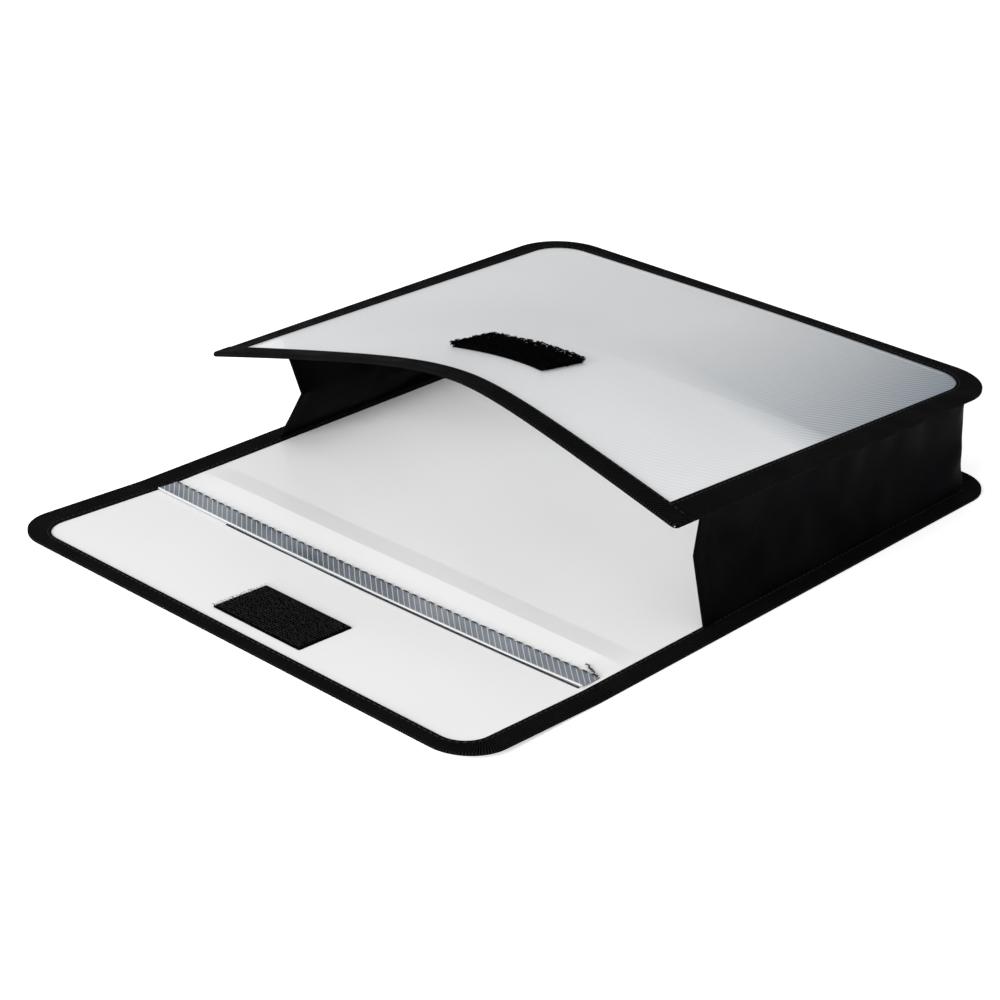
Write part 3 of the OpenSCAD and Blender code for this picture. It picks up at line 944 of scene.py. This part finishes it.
# the hems: the cloth's front columns, folded to three layers
hems = []
for name, side, frontY in (("leftGussetHem", -1, gusset["frontY"][0]),
                           ("rightGussetHem", 1, gusset["frontY"][1])):
    hem = gussetCloth.copy()
    hem.data = gussetCloth.data.copy()
    hem.name = hem.data.name = name
    bpy.context.collection.objects.link(hem)
    choose(hem, "FACE", lambda centre, normal: centre.x * side < 0 or centre.y > frontY + 5.5 * mm)
    bpy.ops.mesh.delete(type="FACE")
    bpy.ops.object.mode_set(mode="OBJECT")
    thicken(hem, 1.7 * mm, 0.5 * mm)
    mapAlong(hem, [(side * halfWidth * 0.9, 0), (side * halfWidth, 0)])
    smooth(hem)
    hems.append(hem)
thicken(gussetCloth, gusset["thickness"])
applyModifier(gussetCloth, "SUBSURF", levels=1, render_levels=1)
smooth(gussetCloth, 60)
finished(gussetCloth, "gusset", ["left_gusset", "right_gusset", "rear_gusset"])
for hem, node in zip(hems, ("left_gusset_hem", "right_gusset_hem")):
    finished(hem, "tape", [node], finishes["gusset"])
for piece in [gussetCloth] + hems:
    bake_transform(piece)
print("gusset made")

# clear strip on the band

strip = {
    "half": 160 * mm,
    "rearY": foldY - 37.5 * mm,
    "width": 14 * mm,
    "bow": 3 * mm,
    "skew": 1.2 * mm,  # its right end lies further back
    "knot": 12 * mm,
    "thickness": 0.4 * mm,
    "lift": 1.2 * mm,  # the free front edge stands off the band
}


def bowOf(x):
    share = x / strip["half"]
    return strip["bow"] * share ** 2 + strip["skew"] * share


def bowStrip(x, y, z):
    share = np.clip((strip["rearY"] - y) / strip["width"], 0, 1)
    wander = 0.5 * ripple(x, y * 0, 0.12, 5)
    return (x * 0, bowOf(x), strip["lift"] * share ** 2 * (0.8 + wander))


bandTop = sheetMiddle + sheet["thickness"] / 2
clearStrip = flatPiece("clearStrip", -strip["half"], strip["half"],
                       strip["rearY"] - strip["width"], strip["rearY"], bandTop + 0.35 * mm)
cut(clearStrip, 0, spaced(-strip["half"], strip["half"], 5 * mm))
cut(clearStrip, 1, spaced(strip["rearY"] - strip["width"], strip["rearY"], 2.5 * mm))
thicken(clearStrip, strip["thickness"])
mapAlong(clearStrip, [(-strip["half"] - 1 * mm, strip["rearY"]), (strip["half"] + 1 * mm, strip["rearY"])])
shift(clearStrip, bowStrip)
smooth(clearStrip)
finished(clearStrip, "clear_strip", ["clear_strip"])
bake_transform(clearStrip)

seamY = strip["rearY"] - 0.5 * mm
stripSeam = [(x, seamY + bowOf(x)) for x in np.linspace(-strip["half"], strip["half"], 41)]
stripStitches = stitchRow("stripStitches", stripSeam, [bandTop + 1.1 * mm], 6, strip["knot"], 1.6)
finished(stripStitches, "thread", ["strip_stitching"])
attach(stripStitches, "fold_band")

# a thin dark line under the strip's free front edge, in the thread finish
edgeLine = flatPiece("stripEdgeThread", -0.62 * strip["half"], strip["half"] - 1 * mm,
                     strip["rearY"] - strip["width"] - 1.3 * mm,
                     strip["rearY"] - strip["width"] - 0.2 * mm, bandTop + 0.3 * mm)
cut(edgeLine, 0, spaced(-0.62 * strip["half"], strip["half"] - 1 * mm, 5 * mm))
thicken(edgeLine, 0.5 * mm, 0.15 * mm)
shift(edgeLine, lambda x, y, z: (x * 0, bowOf(x), z * 0))
smooth(edgeLine)
finished(edgeLine, "thread")
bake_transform(edgeLine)
print("strip made")

# hook and loop patches

patch = {
    "hook": (5.5 * mm, hingeY - 56 * mm),
    "hookSize": (65.5 * mm, 37.5 * mm),
    "hookPitch": (2.1 * mm, 1.7 * mm),
    "loop": (-1.5 * mm, mouthY + 73.5 * mm),
    "loopSize": (67 * mm, 34.5 * mm),
    "base": 0.7 * mm,
    "pile": 2.1 * mm,
    "loops": 4200,
    "hairs": 1100,
}


padCloth = fuzz("padCloth", (0.0012, 0.0012, 0.0014), 0.02, 0.9)


def patchPad(name, centre, size):
    x, y = centre
    length, width = size
    pad = flatPiece(name, x - length / 2, x + length / 2, y - width / 2, y + width / 2)
    roundCorners(pad, lambda co: True, 1.0 * mm, 4)
    cut(pad, 0, spaced(x - length / 2, x + length / 2, 5 * mm))
    thicken(pad, patch["base"], 0.2 * mm)
    smooth(pad)
    return pad


def loopShape(radius, thread, sweep):  # an arch of thread, spun from a small ring
    bpy.ops.object.select_all(action="DESELECT")
    bpy.ops.mesh.primitive_circle_add(vertices=5, radius=thread, fill_type="NOTHING", location=(radius, 0, 0))
    obj = bpy.context.object
    bpy.ops.object.transform_apply(location=True, rotation=False, scale=False)
    bpy.ops.object.mode_set(mode="EDIT")
    bpy.ops.mesh.select_all(action="SELECT")
    bpy.ops.mesh.spin(steps=6, angle=math.radians(sweep), center=(0, 0, 0), axis=(0, 1, 0))
    bpy.ops.mesh.select_all(action="SELECT")
    bpy.ops.mesh.normals_make_consistent(inside=False)
    bpy.ops.object.mode_set(mode="OBJECT")
    return obj


hookPad = patchPad("hookPatch", patch["hook"], patch["hookSize"])
shift(hookPad, lambda x, y, z: (x * 0, y * 0, z * 0 + bandTop + 0.4 * mm))
tiltFlap(hookPad)
finished(hookPad, "hook", ["hook_patch"], padCloth)
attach(hookPad, "flap")

rng = np.random.default_rng(11)
hookSpots = []
columns, rows = (int(size / pitch) - 1 for size, pitch in zip(patch["hookSize"], patch["hookPitch"]))
for i in range(columns):
    for j in range(rows):
        x = patch["hook"][0] + (i - (columns - 1) / 2) * patch["hookPitch"][0] + rng.normal(0, 0.08 * mm)
        y = patch["hook"][1] + (j - (rows - 1) / 2) * patch["hookPitch"][1] + rng.normal(0, 0.05 * mm)
        lean = rng.normal(0, 0.3)
        turn = (math.pi if j % 2 else 0) + rng.normal(0, 0.25)
        hookSpots.append((x, y, bandTop + 0.75 * mm, turn, lean, rng.uniform(0.9, 1.2)))
hooks = scatter("hooks", loopShape(0.8 * mm, 0.2 * mm, 150), hookSpots)
tiltFlap(hooks)
finished(hooks, "hook")
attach(hooks, "flap")

fringe = []
# cut hooks along the left end
for y in np.arange(-0.5, 0.5, 0.028) * patch["hookSize"][1] + patch["hook"][1]:
    fringe.append((patch["hook"][0] - patch["hookSize"][0] / 2, y, bandTop + 0.8 * mm,
                   rng.normal(0, 0.5), rng.normal(0, 0.4), rng.uniform(1.1, 2.0)))
hookFringe = scatter("hookFringe", loopShape(0.6 * mm, 0.1 * mm, 120), fringe)
tiltFlap(hookFringe)
finished(hookFringe, "hook", (), fuzz("clearFilament", (0.35, 0.35, 0.36), 0.5, 0.3))
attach(hookFringe, "flap")

loopPad = patchPad("loopPatch", patch["loop"], patch["loopSize"])
shift(loopPad, lambda x, y, z: (x * 0, y * 0, z * 0 + sheet["thickness"] / 2 + 0.4 * mm))
liftToCover(loopPad)
finished(loopPad, "loop", ["loop_patch"])
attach(loopPad, "cover")

loopSpots = []
padTop = sheet["thickness"] / 2 + 0.75 * mm
for index in range(patch["loops"]):  # a deep pile: each loop stands somewhere in its height
    dx, dy = rng.uniform(-0.5, 0.5, 2)
    x = patch["loop"][0] + dx * (patch["loopSize"][0] - 1 * mm)
    y = patch["loop"][1] + dy * (patch["loopSize"][1] - 1 * mm)
    nearEnd = 1 - 0.35 * (dx + 0.5)  # fluffier towards the left end
    height = padTop + rng.uniform(0, patch["pile"] - 0.9 * mm) * nearEnd * (0.45 + 0.55 * (dy + 0.5))
    loopSpots.append((x, y, height, rng.uniform(0, math.tau), rng.normal(0, 0.8), rng.uniform(0.7, 1.5)))
for index in range(patch["hairs"]):  # loose hairs along the rear edge and the ends
    t = rng.uniform(-0.5, 0.5)
    dx, dy = [(-0.5, t), (t, 0.5), (t, 0.5), (0.5, t)][rng.choice([0, 0, 1, 2, 3])]
    x = patch["loop"][0] + dx * patch["loopSize"][0]
    y = patch["loop"][1] + dy * patch["loopSize"][1]
    height = padTop + rng.uniform(0, patch["pile"])
    loopSpots.append((x, y, height, rng.uniform(0, math.tau), rng.normal(0, 0.9), rng.uniform(0.8, 1.8)))
loops = scatter("loopPile", loopShape(0.75 * mm, 0.13 * mm, 180), loopSpots)
liftToCover(loops)
finished(loops, "loop")
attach(loops, "cover")
print("patches made")
